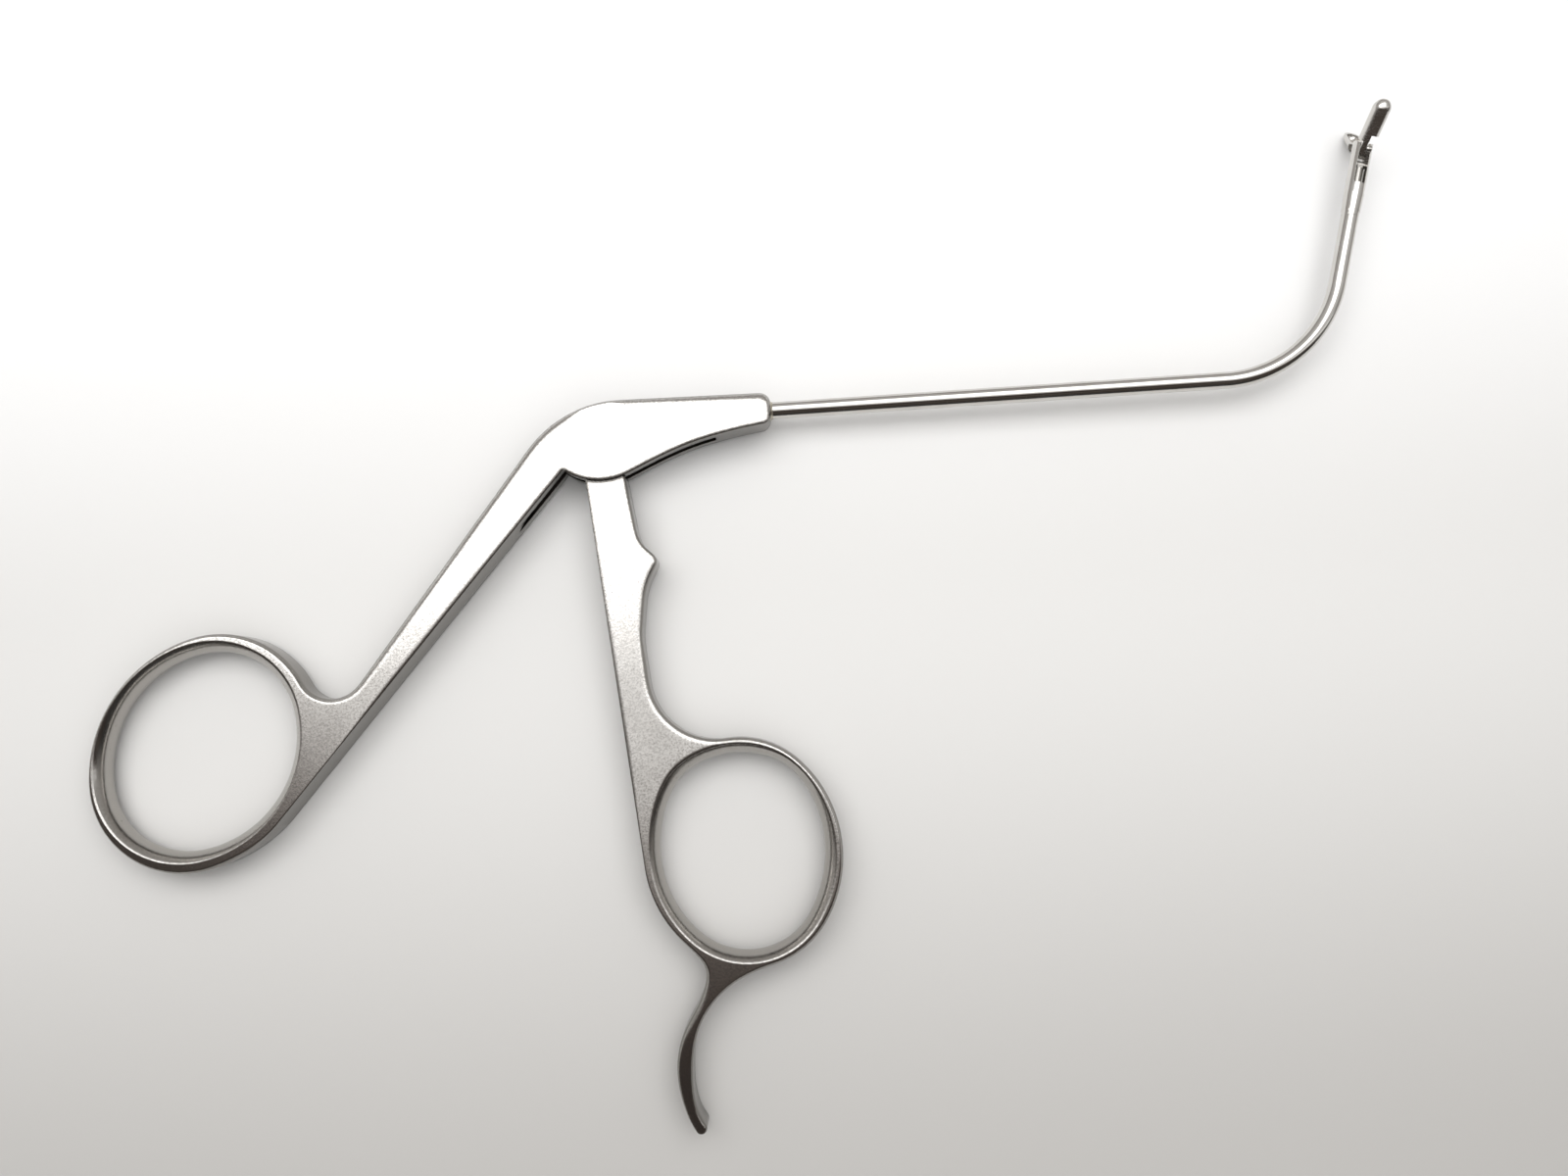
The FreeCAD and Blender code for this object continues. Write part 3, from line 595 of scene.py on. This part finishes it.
@dataclass
class Shaft:
    """The bent tube and the rings of metal at both its ends; sizes in millimetres.

    The tube starts inside the nose and ends inside the clevis. Both gaps are measured back from the jaws'
    pivot, where the leg of the bend ends: to the end of the tube, and to the back of the clevis.
    """

    tube_r: float = 1.3
    bore_r: float = 0.95
    corner_x: float = 111.7
    bend_deg: float = 73.5
    bend_r: float = 20.0
    leg_len: float = 36.7
    start_x: float = 17.55
    end_gap: float = 7.05
    nose_x: float = 26.2
    clevis_gap: float = 10.0
    flatten: float = 0.012
    columns: int = 72
    straight_rows: int = 30
    bend_rows: int = 90
    leg_rows: int = 16
    fillet_rows: int = 9
    fillet_sink: float = 0.1

    def runs(self) -> tuple[float, float, float]:
        """Lengths of the straight run, the bend and the leg, measured along the tube."""
        tangent = self.bend_r * math.tan(math.radians(self.bend_deg) / 2)
        straight = self.corner_x - tangent - self.start_x
        return straight, self.bend_r * math.radians(self.bend_deg), self.leg_len - tangent - self.end_gap

    def centre_line(self, s: np.ndarray) -> tuple[np.ndarray, np.ndarray]:
        """Centres and headings along the tube.

        The heading is 0 on the first run, grows by distance over radius round the bend, and then stays. The
        centre runs straight, follows the circle of the bend and runs straight again from the circle's end.

        Args:
            s: distances from the tube's start.

        Returns:
            Points in millimetres, and heading angles in radians.
        """
        straight, arc, _ = self.runs()
        heading = np.clip((s - straight) / self.bend_r, 0.0, math.radians(self.bend_deg))
        before = np.minimum(s, straight)
        after = np.maximum(s - straight - arc, 0.0)
        x = self.start_x + before + self.bend_r * np.sin(heading) + after * np.cos(heading)
        y = self.bend_r * (1.0 - np.cos(heading)) + after * np.sin(heading)
        return np.stack([x, y, np.full_like(x, MIDDLE_MM)], axis=-1), heading

    def rings(self, s: np.ndarray, radius: np.ndarray) -> np.ndarray:
        """Circles round the centre line: centre + r (cos a * side + sin a * up).

        Side is level and square to the heading. In the bend each circle is pressed a little into an upright
        oval, most at the middle, as the square of the sine of the share of the bend.

        Args:
            s: distances along the tube.
            radius: each circle's radius.

        Returns:
            Points, one row a circle.
        """
        centre, heading = self.centre_line(s)
        angle = np.linspace(0.0, 2 * math.pi, self.columns, endpoint=False)
        side = np.stack([-np.sin(heading), np.cos(heading), np.zeros_like(heading)], axis=-1)
        straight, arc, _ = self.runs()
        share = np.clip((s - straight) / arc, 0.0, 1.0)
        oval = self.flatten * np.sin(math.pi * share) ** 2
        flat = (radius * (1 - oval))[:, None, None] * np.cos(angle)[None, :, None] * side[:, None, :]
        high = (radius * (1 + oval))[:, None] * np.sin(angle)[None, :]
        points = centre[:, None, :] + flat
        points[..., 2] += high
        return points

    def tube(self) -> bpy.types.Object:
        """The tube as one closed wall: outside forwards, round the end, inside back and round the start.

        Returns:
            The tube.
        """
        straight, arc, leg = self.runs()
        s = np.concatenate([
            np.linspace(0.0, straight, self.straight_rows, endpoint=False),
            np.linspace(straight, straight + arc, self.bend_rows, endpoint=False),
            np.linspace(straight + arc, straight + arc + leg, self.leg_rows),
        ])
        outer = self.rings(s, np.full_like(s, self.tube_r))
        inner = self.rings(s[::-1], np.full_like(s, self.bore_r))
        points = np.concatenate([outer, inner])
        v = np.linspace(0.0, 2 * math.pi * self.tube_r, self.columns) * MM
        along = np.concatenate([s, s[::-1]]) * MM
        uv = np.stack(np.broadcast_arrays(along[:, None], v[None, :]), axis=-1)
        return lay_grid("shaft_tube_drawn", points, closed=True, uv=uv)

    def fillet(self, name: str, s0: float, lift: float, run: float, bury: float) -> bpy.types.Object:
        """A ring of metal whose face is a hollow quarter oval between the tube and the face that it meets.

        Args:
            name: the piece's name.
            s0: distance along the tube of the face that it meets.
            lift: how far it climbs that face.
            run: how far it runs along the tube, negative towards the start.
            bury: how far its back reaches under that face.

        Returns:
            The ring.
        """
        a = np.linspace(0.0, math.pi / 2, self.fillet_rows)
        buried = s0 - bury * np.sign(run)
        s = np.concatenate([s0 + run * (1 - np.sin(a)), [buried, buried]])
        radius = self.tube_r + np.concatenate([lift * (1 - np.cos(a)), [lift, -self.fillet_sink]])
        return lay_grid(name, self.rings(s, radius), closed=True)

    def build(self, finish: bpy.types.Material, braze: bpy.types.Material) -> list[bpy.types.Object]:
        """Makes the tube and both rings, and dresses them.

        Args:
            finish: the material of the tube and of the ring at the clevis.
            braze: the material of the ring at the nose.

        Returns:
            The pieces.
        """
        tube = self.tube()
        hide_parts("shaft_tube")
        straight, arc, leg = self.runs()
        nose = self.fillet("nose_braze_ring", self.nose_x - self.start_x, lift=0.3, run=0.32, bury=0.5)
        clevis_at = straight + arc + leg + self.end_gap - self.clevis_gap
        clevis = self.fillet("clevis_blend_ring", clevis_at, lift=0.07, run=-0.9, bury=0.3)
        for piece, material in ((tube, finish), (nose, braze), (clevis, finish)):
            dress(piece, material)
            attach(piece, Body.FRAME.value)
        return [tube, nose, clevis]


@dataclass
class RingRim:
    """The rounded inner wall of a ring, set into a copy of its handle that is bored out for it.

    The hole's outline is an oval of four arcs. A swell is a place where the ring departs from it: its bearing
    and spread in degrees, then how much further out the rim and the waist of the wall lie there. The wall's
    back lies inside the metal, behind the rim and in from both faces. Sizes are in millimetres.
    """

    node: str
    body: Body
    centre: tuple[float, float]
    bearing_deg: float
    half_long: float
    half_wide: float
    end_r: float
    rim: float
    swells: tuple[tuple[float, float, float, float], ...]
    lean: float = 0.0
    lean_from: float = 1.75
    lean_rise: float = 1.0
    pivot_fade: tuple[float, float] = (3.0, 6.0)
    ring_fade: tuple[float, float] = (50.0, 60.0)
    crease_deg: float = 28.0
    slab: float = 5.5
    lap: float = 0.03
    back: float = 0.25
    back_inset: float = 0.2
    overshoot: float = 1.0
    weld: float = 1e-4
    columns: int = 180
    levels: int = 25

    def outline(self, grow: np.ndarray) -> np.ndarray:
        """Points of the oval grown outwards, one for each bearing of its normal.

        Where the normal leans less than the joint of the arcs from the long axis, the point lies on an end
        arc about (a - r, 0). Elsewhere it lies on a side arc about (0, b - R), where
        R = ((a - r)^2 + b^2 - r^2) / (2 (b - r)). The point is the arc's centre plus its radius and growth
        times the normal.

        Args:
            grow: how far outwards, one value for each bearing.

        Returns:
            X and Y, one row a bearing.
        """
        reach = self.half_long - self.end_r
        side_r = (reach**2 + self.half_wide**2 - self.end_r**2) / (2 * (self.half_wide - self.end_r))
        turn = math.radians(self.bearing_deg)
        normal = self.bearings() - turn
        c, s = np.cos(normal), np.sin(normal)
        on_end = np.abs(s) < math.sin(math.atan2(side_r - self.half_wide, reach))
        radius = np.where(on_end, self.end_r, side_r) + grow
        x = np.where(on_end, np.sign(c) * reach, 0.0) + radius * c
        y = np.where(on_end, 0.0, np.sign(s) * (self.half_wide - side_r)) + radius * s
        ct, st = math.cos(turn), math.sin(turn)
        return np.stack([self.centre[0] + x * ct - y * st, self.centre[1] + x * st + y * ct], axis=-1)

    def bearings(self) -> np.ndarray:
        """Bearings of the outline's points in the row frame, in radians."""
        return np.linspace(0.0, 2 * math.pi, self.columns, endpoint=False)

    def lines(self) -> tuple[np.ndarray, np.ndarray]:
        """Sets how far outside the oval the rim and waist lie, each swell being a bell curve of the bearing.

        Returns:
            The rim's and the waist's distance, one value for each bearing.
        """
        rim = np.full(self.columns, self.rim)
        waist = np.zeros(self.columns)
        for at, spread, out, narrow in self.swells:
            off = (np.degrees(self.bearings()) - at + 180.0) % 360.0 - 180.0
            bell = np.exp(-((off / spread) ** 2))
            rim += out * bell
            waist += narrow * bell
        return rim, waist

    def wall(self) -> bpy.types.Object:
        """The wall, from the rim in to the waist and out again by the square of the height from the middle.

        Returns:
            The wall.
        """
        rim, waist = self.lines()
        middle = self.slab / 2
        loops = []
        for share in np.linspace(1.0, -1.0, self.levels):
            flat = self.outline(waist + (rim - waist) * share**2)
            loops.append(np.column_stack([flat, np.full(self.columns, middle * (1 + share))]))
        for z in (self.back_inset, self.slab - self.back_inset):
            loops.append(np.column_stack([self.outline(rim + self.back), np.full(self.columns, z)]))
        return lay_grid(f"{self.node}_ring_wall", np.stack(loops), closed=True)

    def plug(self) -> bpy.types.Object:
        """The straight plug that bores the handle out to the rim, less a lap that hides the joint.

        Returns:
            The plug.
        """
        flat = self.outline(self.lines()[0] - self.lap)
        n = self.columns
        heights = (-self.overshoot, self.slab + self.overshoot)
        loops = [np.column_stack([flat, np.full(n, z)]) for z in heights]
        j = np.arange(n)
        sides = np.stack([j, (j + 1) % n, (j + 1) % n + n, j + n], axis=-1).tolist()
        mesh = bpy.data.meshes.new("plug")
        mesh.from_pydata(np.concatenate(loops) * MM, [], [*sides, j[::-1].tolist(), (j + n).tolist()])
        piece = bpy.data.objects.new("plug", mesh)
        bpy.context.scene.collection.objects.link(piece)
        return piece

    def lean_flanks(self, mesh: bpy.types.Mesh) -> None:
        """Rounds the far sides of the arm and nose further over, so that the ground faces are narrower there.

        A point further than lean_from above or below the middle moves in along its own level normal by
        lean * s^2, where s rises from 0 there to 1 at the face. The move fades out where the normal turns
        from +Y to the sides, close round the pivot, and before the ring.

        Args:
            mesh: the handle's mesh, which is changed.
        """
        count = len(mesh.vertices)
        points = np.empty(count * 3, np.float32)
        normals = np.empty(count * 3, np.float32)
        mesh.vertices.foreach_get("co", points)
        mesh.vertex_normals.foreach_get("vector", normals)
        points, normals = points.reshape(-1, 3), normals.reshape(-1, 3)
        level = normals[:, :2]
        length = np.maximum(np.linalg.norm(level, axis=1, keepdims=True), 1e-6)
        s = np.clip((np.abs(points[:, 2] / MM - self.slab / 2) - self.lean_from) / self.lean_rise, 0.0, 1.0)
        away = np.linalg.norm(points[:, :2], axis=1) / MM
        none_in, all_out = self.pivot_fade
        all_in, none_out = self.ring_fade
        fade = np.clip((away - none_in) / (all_out - none_in), 0.0, 1.0)
        fade *= np.clip((none_out - away) / (none_out - all_in), 0.0, 1.0)
        # Full where the side faces within 60 degrees of +Y
        fade *= np.clip(2.0 * level[:, 1] / length[:, 0], 0.0, 1.0)
        move = (self.lean * MM * fade * s**2)[:, None]
        # A normal with hardly any level part gives no direction to move in
        points[:, :2] -= np.where(length > 0.1, level / length, 0.0) * move
        mesh.vertices.foreach_set("co", points.ravel())
        mesh.update()

    def bored(self, node: bpy.types.Object) -> bpy.types.Object:
        """A copy of the handle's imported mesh, welded and bored out by the plug.

        Args:
            node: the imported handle.

        Returns:
            The new piece, smooth with sharp creases.
        """
        mesh = node.data.copy()
        mesh.attributes.remove(mesh.attributes["custom_normal"])
        shell = bmesh.new()
        shell.from_mesh(mesh)
        bmesh.ops.remove_doubles(shell, verts=shell.verts, dist=self.weld * MM)
        shell.to_mesh(mesh)
        shell.free()
        piece = bpy.data.objects.new(f"{self.node}_bored", mesh)
        bpy.context.scene.collection.objects.link(piece)
        plug = self.plug()
        cut = piece.modifiers.new("bore", "BOOLEAN")
        cut.operation = "DIFFERENCE"
        cut.solver = "EXACT"
        cut.object = plug
        whole = piece.evaluated_get(bpy.context.evaluated_depsgraph_get())
        bored = bpy.data.meshes.new_from_object(whole)
        piece.modifiers.clear()
        piece.data = bored
        bpy.data.objects.remove(plug)
        self.lean_flanks(bored)
        bored.polygons.foreach_set("use_smooth", np.ones(len(bored.polygons), bool))
        bored.set_sharp_from_angle(angle=math.radians(self.crease_deg))
        return piece

    def build(
        self,
        node: bpy.types.Object,
        finish: bpy.types.Material,
        bore_finish: bpy.types.Material,
    ) -> list[bpy.types.Object]:
        """Makes the bored handle and its ring wall, dressed and riding on the handle's body.

        Args:
            node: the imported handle.
            finish: the handle's material.
            bore_finish: the ring wall's material.

        Returns:
            The pieces.
        """
        handle = self.bored(node)
        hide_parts(self.node)
        pieces = [handle, self.wall()]
        for piece, material in zip(pieces, (finish, bore_finish), strict=True):
            dress(piece, material)
            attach(piece, self.body.value)
        return pieces


THUMB_RIM = RingRim(
    "fixed_handle",
    Body.FRAME,
    centre=(-62.1, -46.2),
    bearing_deg=54.0,
    half_long=15.3,
    half_wide=13.4,
    end_r=12.0,
    rim=1.5,
    swells=((135.0, 30.0, -0.3, 0.0), (215.0, 40.0, 0.1, 0.3)),
    lean=0.55,
    crease_deg=21.5,
)
FINGER_RIM = RingRim(
    "moving_handle",
    Body.LEVER,
    centre=(17.8, -66.4),
    bearing_deg=-84.0,
    half_long=14.5,
    half_wide=12.3,
    end_r=11.0,
    rim=1.4,
    swells=((45.0, 22.0, 0.15, 0.45), (140.0, 26.0, 0.6, 0.5), (-15.0, 30.0, -0.1, -0.35)),
)


@dataclass
class Studio:
    """The pale table, the soft lights, the dark room that metal reflects, and the camera; in millimetres.

    Each tone of the shade comes with the Y that it lies at, and each tone of the sky with the height that a
    unit direction points to. The sky's gain runs from near to far over a span of such a direction's Y.
    """

    rest_points: tuple[tuple[float, float, float], ...] = (
        (8.917, -105.616, 0.0),
        (-70.439, -61.998, 0.0),
        (123.548, 39.999, -3.177),
    )
    table_half: float = 4000.0
    table_lines: int = 41
    camera_at: tuple[float, float, float] = (25.24, -44.66, 181.17)
    camera_tilt_deg: float = 5.474
    camera_roll_deg: float = 3.892
    lens_mm: float = 27.0
    sensor_mm: float = 36.0
    sight: tuple[float, float] = (10.0, 20000.0)
    box_at: tuple[float, float, float] = (-5.0, 125.0, 330.0)
    box_size: tuple[float, float] = (550.0, 260.0)
    box_radiance: float = 2.12
    fill_at: tuple[float, float, float] = (110.0, -260.0, 460.0)
    fill_size: tuple[float, float] = (700.0, 500.0)
    fill_radiance: float = 0.78
    shade_z: float = 330.0
    shade_far: float = -5.0
    shade_near: float = -700.0
    shade_half: float = 900.0
    shade_lean: float = 0.6
    shade_lean_from: float = 100.0
    shade_tones: tuple[tuple[float, str], ...] = (
        (-500.0, "#3A332E"),
        (-300.0, "#524C47"),
        (-200.0, "#241D1A"),
        (-150.0, "#4A413C"),
        (-117.0, "#7A736F"),
        (-82.0, "#D6D4D2"),
        (-45.0, "#F3F2F1"),
        (-5.0, "#FFFFFF"),
    )
    shade_gain: float = 1.2
    sky_tones: tuple[tuple[float, str], ...] = (
        (0.0, "#96928E"),
        (0.45, "#A8A6A3"),
        (0.9, "#CFCECD"),
    )
    near_gain: float = 0.16
    far_gain: float = 1.3
    gain_span: tuple[float, float] = (-0.35, 0.1)
    backdrop: str = "#F6F6F5"

    def table(self) -> bpy.types.Object:
        """The table top: the plane through the three places that the instrument rests on.

        Returns:
            The table top.
        """
        a, b, c = (np.array(p) for p in self.rest_points)
        normal = np.cross(b - a, c - a)
        normal /= normal[2]
        side = np.linspace(-self.table_half, self.table_half, self.table_lines)
        x, y = np.meshgrid(side, side, indexing="ij")
        z = a[2] - (normal[0] * (x - a[0]) + normal[1] * (y - a[1]))
        points = np.stack([x, y, z], axis=-1)
        top = lay_grid("table_top", points, closed=False)
        dress(top, PaleTable().make())
        return top

    def camera(self) -> None:
        """Stands the camera where the photograph was taken from."""
        data = bpy.data.cameras.new("camera")
        data.lens = self.lens_mm
        data.sensor_width = self.sensor_mm
        data.clip_start, data.clip_end = (distance * MM for distance in self.sight)
        holder = bpy.data.objects.new("camera", data)
        holder.location = Vector(self.camera_at) * MM
        holder.rotation_euler = (math.radians(self.camera_tilt_deg), 0.0, -math.radians(self.camera_roll_deg))
        bpy.context.scene.collection.objects.link(holder)
        bpy.context.scene.camera = holder

    def lamp(
        self,
        name: str,
        at: tuple[float, float, float],
        size: tuple[float, float],
        radiance: float,
    ) -> bpy.types.Object:
        """Adds a rectangular lamp that faces the instrument, its power worked out from radiance and area.

        Args:
            name: the lamp's name.
            at: its centre.
            size: its two sides.
            radiance: how bright its face is.

        Returns:
            The lamp.
        """
        data = bpy.data.lights.new(name, "AREA")
        data.shape = "RECTANGLE"
        data.size, data.size_y = (side * MM for side in size)
        data.energy = radiance * math.pi * data.size * data.size_y
        lamp = bpy.data.objects.new(name, data)
        lamp.location = Vector(at) * MM
        bpy.context.scene.collection.objects.link(lamp)
        return lamp

    def lights(self) -> None:
        """The large soft lamp on the far side, and a dim fill on the near side that lifts the shadows."""
        self.lamp("softbox", self.box_at, self.box_size, self.box_radiance)
        fill = self.lamp("fill", self.fill_at, self.fill_size, self.fill_radiance)
        fill.rotation_euler = (-Vector(self.fill_at)).to_track_quat("-Z", "Y").to_euler()
        fill.visible_glossy = False

    def shade(self) -> bpy.types.Object:
        """The dark near side of the room, overhead, as only the metal reflects it.

        Its tone falls with Y from the softbox's edge towards the near side, and darkens to the left as well:
        the ramp is read at Y + lean * min(X + lean_from, 0).

        Returns:
            The card.
        """
        x = np.array([-self.shade_half, self.shade_half])
        y = np.array([self.shade_near, self.shade_far])
        wide, deep = np.meshgrid(x, y, indexing="ij")
        points = np.stack([wide, deep, np.full_like(wide, self.shade_z)], axis=-1)
        card = lay_grid("room_shade", points, closed=False)
        material, tree = new_material("dark_room")
        place = add_node(tree, "ShaderNodeTexCoord").outputs["Object"]
        left = calculate(tree, "ADD", split(tree, place, "X"), self.shade_lean_from * MM)
        capped = calculate(tree, "MINIMUM", left, 0.0)
        depth = calculate(tree, "MULTIPLY_ADD", capped, self.shade_lean, split(tree, place, "Y"))
        near, far = self.shade_tones[0][0], self.shade_tones[-1][0]
        along = remap(tree, depth, (near * MM, far * MM))
        stops = [((at - near) / (far - near), tone) for at, tone in self.shade_tones]
        light = {"Color": colour_ramp(tree, along, stops), "Strength": self.shade_gain}
        close_tree(tree, add_node(tree, "ShaderNodeEmission", light))
        dress(card, material)
        card.visible_camera = False
        card.visible_diffuse = False
        card.visible_shadow = False
        card.visible_transmission = False
        return card

    def world(self) -> None:
        """A room that is dim near the table and pale overhead, and brighter on the far side."""
        world = bpy.data.worlds.new("room")
        bpy.context.scene.world = world
        world.use_nodes = True
        tree = world.node_tree
        tree.nodes.clear()
        heading = add_node(tree, "ShaderNodeTexCoord").outputs["Generated"]
        sky = colour_ramp(tree, split(tree, heading, "Z"), list(self.sky_tones))
        gain = remap(tree, split(tree, heading, "Y"), self.gain_span, (self.near_gain, self.far_gain))
        room = add_node(tree, "ShaderNodeBackground", {"Color": sky, "Strength": gain})
        seen = add_node(tree, "ShaderNodeBackground", {"Color": linear(self.backdrop), "Strength": 1.0})
        direct = add_node(tree, "ShaderNodeLightPath").outputs["Is Camera Ray"]
        mix = add_node(tree, "ShaderNodeMixShader", {0: direct, 1: room.outputs[0], 2: seen.outputs[0]})
        add_node(tree, "ShaderNodeOutputWorld", {"Surface": mix.outputs[0]})

    def build(self) -> None:
        """Sets up the table, lights, shade, world and camera."""
        self.camera()
        self.table()
        self.lights()
        self.shade()
        self.world()
        bpy.context.scene.view_settings.view_transform = "Standard"


def dress_nodes(nodes: dict[str, bpy.types.Object], finishes: dict[Slot, bpy.types.Material]) -> None:
    """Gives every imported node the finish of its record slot.

    Args:
        nodes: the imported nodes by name.
        finishes: the material of each slot.
    """
    for name, node in nodes.items():
        slot = Slot(node.data.materials[0].name.split(".")[0])
        dress(node, finishes[slot])
        LOG.info("dressed %s in %s", name, finishes[slot].name)


def main() -> None:
    """Loads the frame, dresses its nodes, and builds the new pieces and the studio."""
    logging.basicConfig(level=logging.INFO, format="%(name)s: %(message)s")
    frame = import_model()
    workings = PolishedSteel("ground_stainless_steel", face="#B9B7B3", shade="#9C9994", roughness=0.24)
    finishes = {
        Slot.HANDLES: BlastedSteel().make(),
        Slot.SHAFT: PolishedSteel("polished_stainless_steel").make(),
        Slot.SPOONS: PolishedSteel("hardened_spoon_steel", roughness=0.22).make(),
        Slot.WORKINGS: workings.make(),
    }
    dress_nodes(frame["nodes"], finishes)
    drawn = PolishedSteel("drawn_stainless_tube", roughness=0.12, along_uv=True).make()
    braze = PolishedSteel("silver_braze", face="#D2CDBF", shade="#B3AC9C", roughness=0.3).make()
    pieces = Shaft().build(drawn, braze)
    bore = BlastedSteel("blasted_ring_bore_steel", side="#AAA7A3").make()
    for rim in (THUMB_RIM, FINGER_RIM):
        pieces += rim.build(frame["nodes"][rim.node], finishes[Slot.HANDLES], bore)
    for piece in pieces:
        LOG.info("built %s, %d faces", piece.name, len(piece.data.polygons))
    Studio().build()


if __name__ == "__main__":
    main()
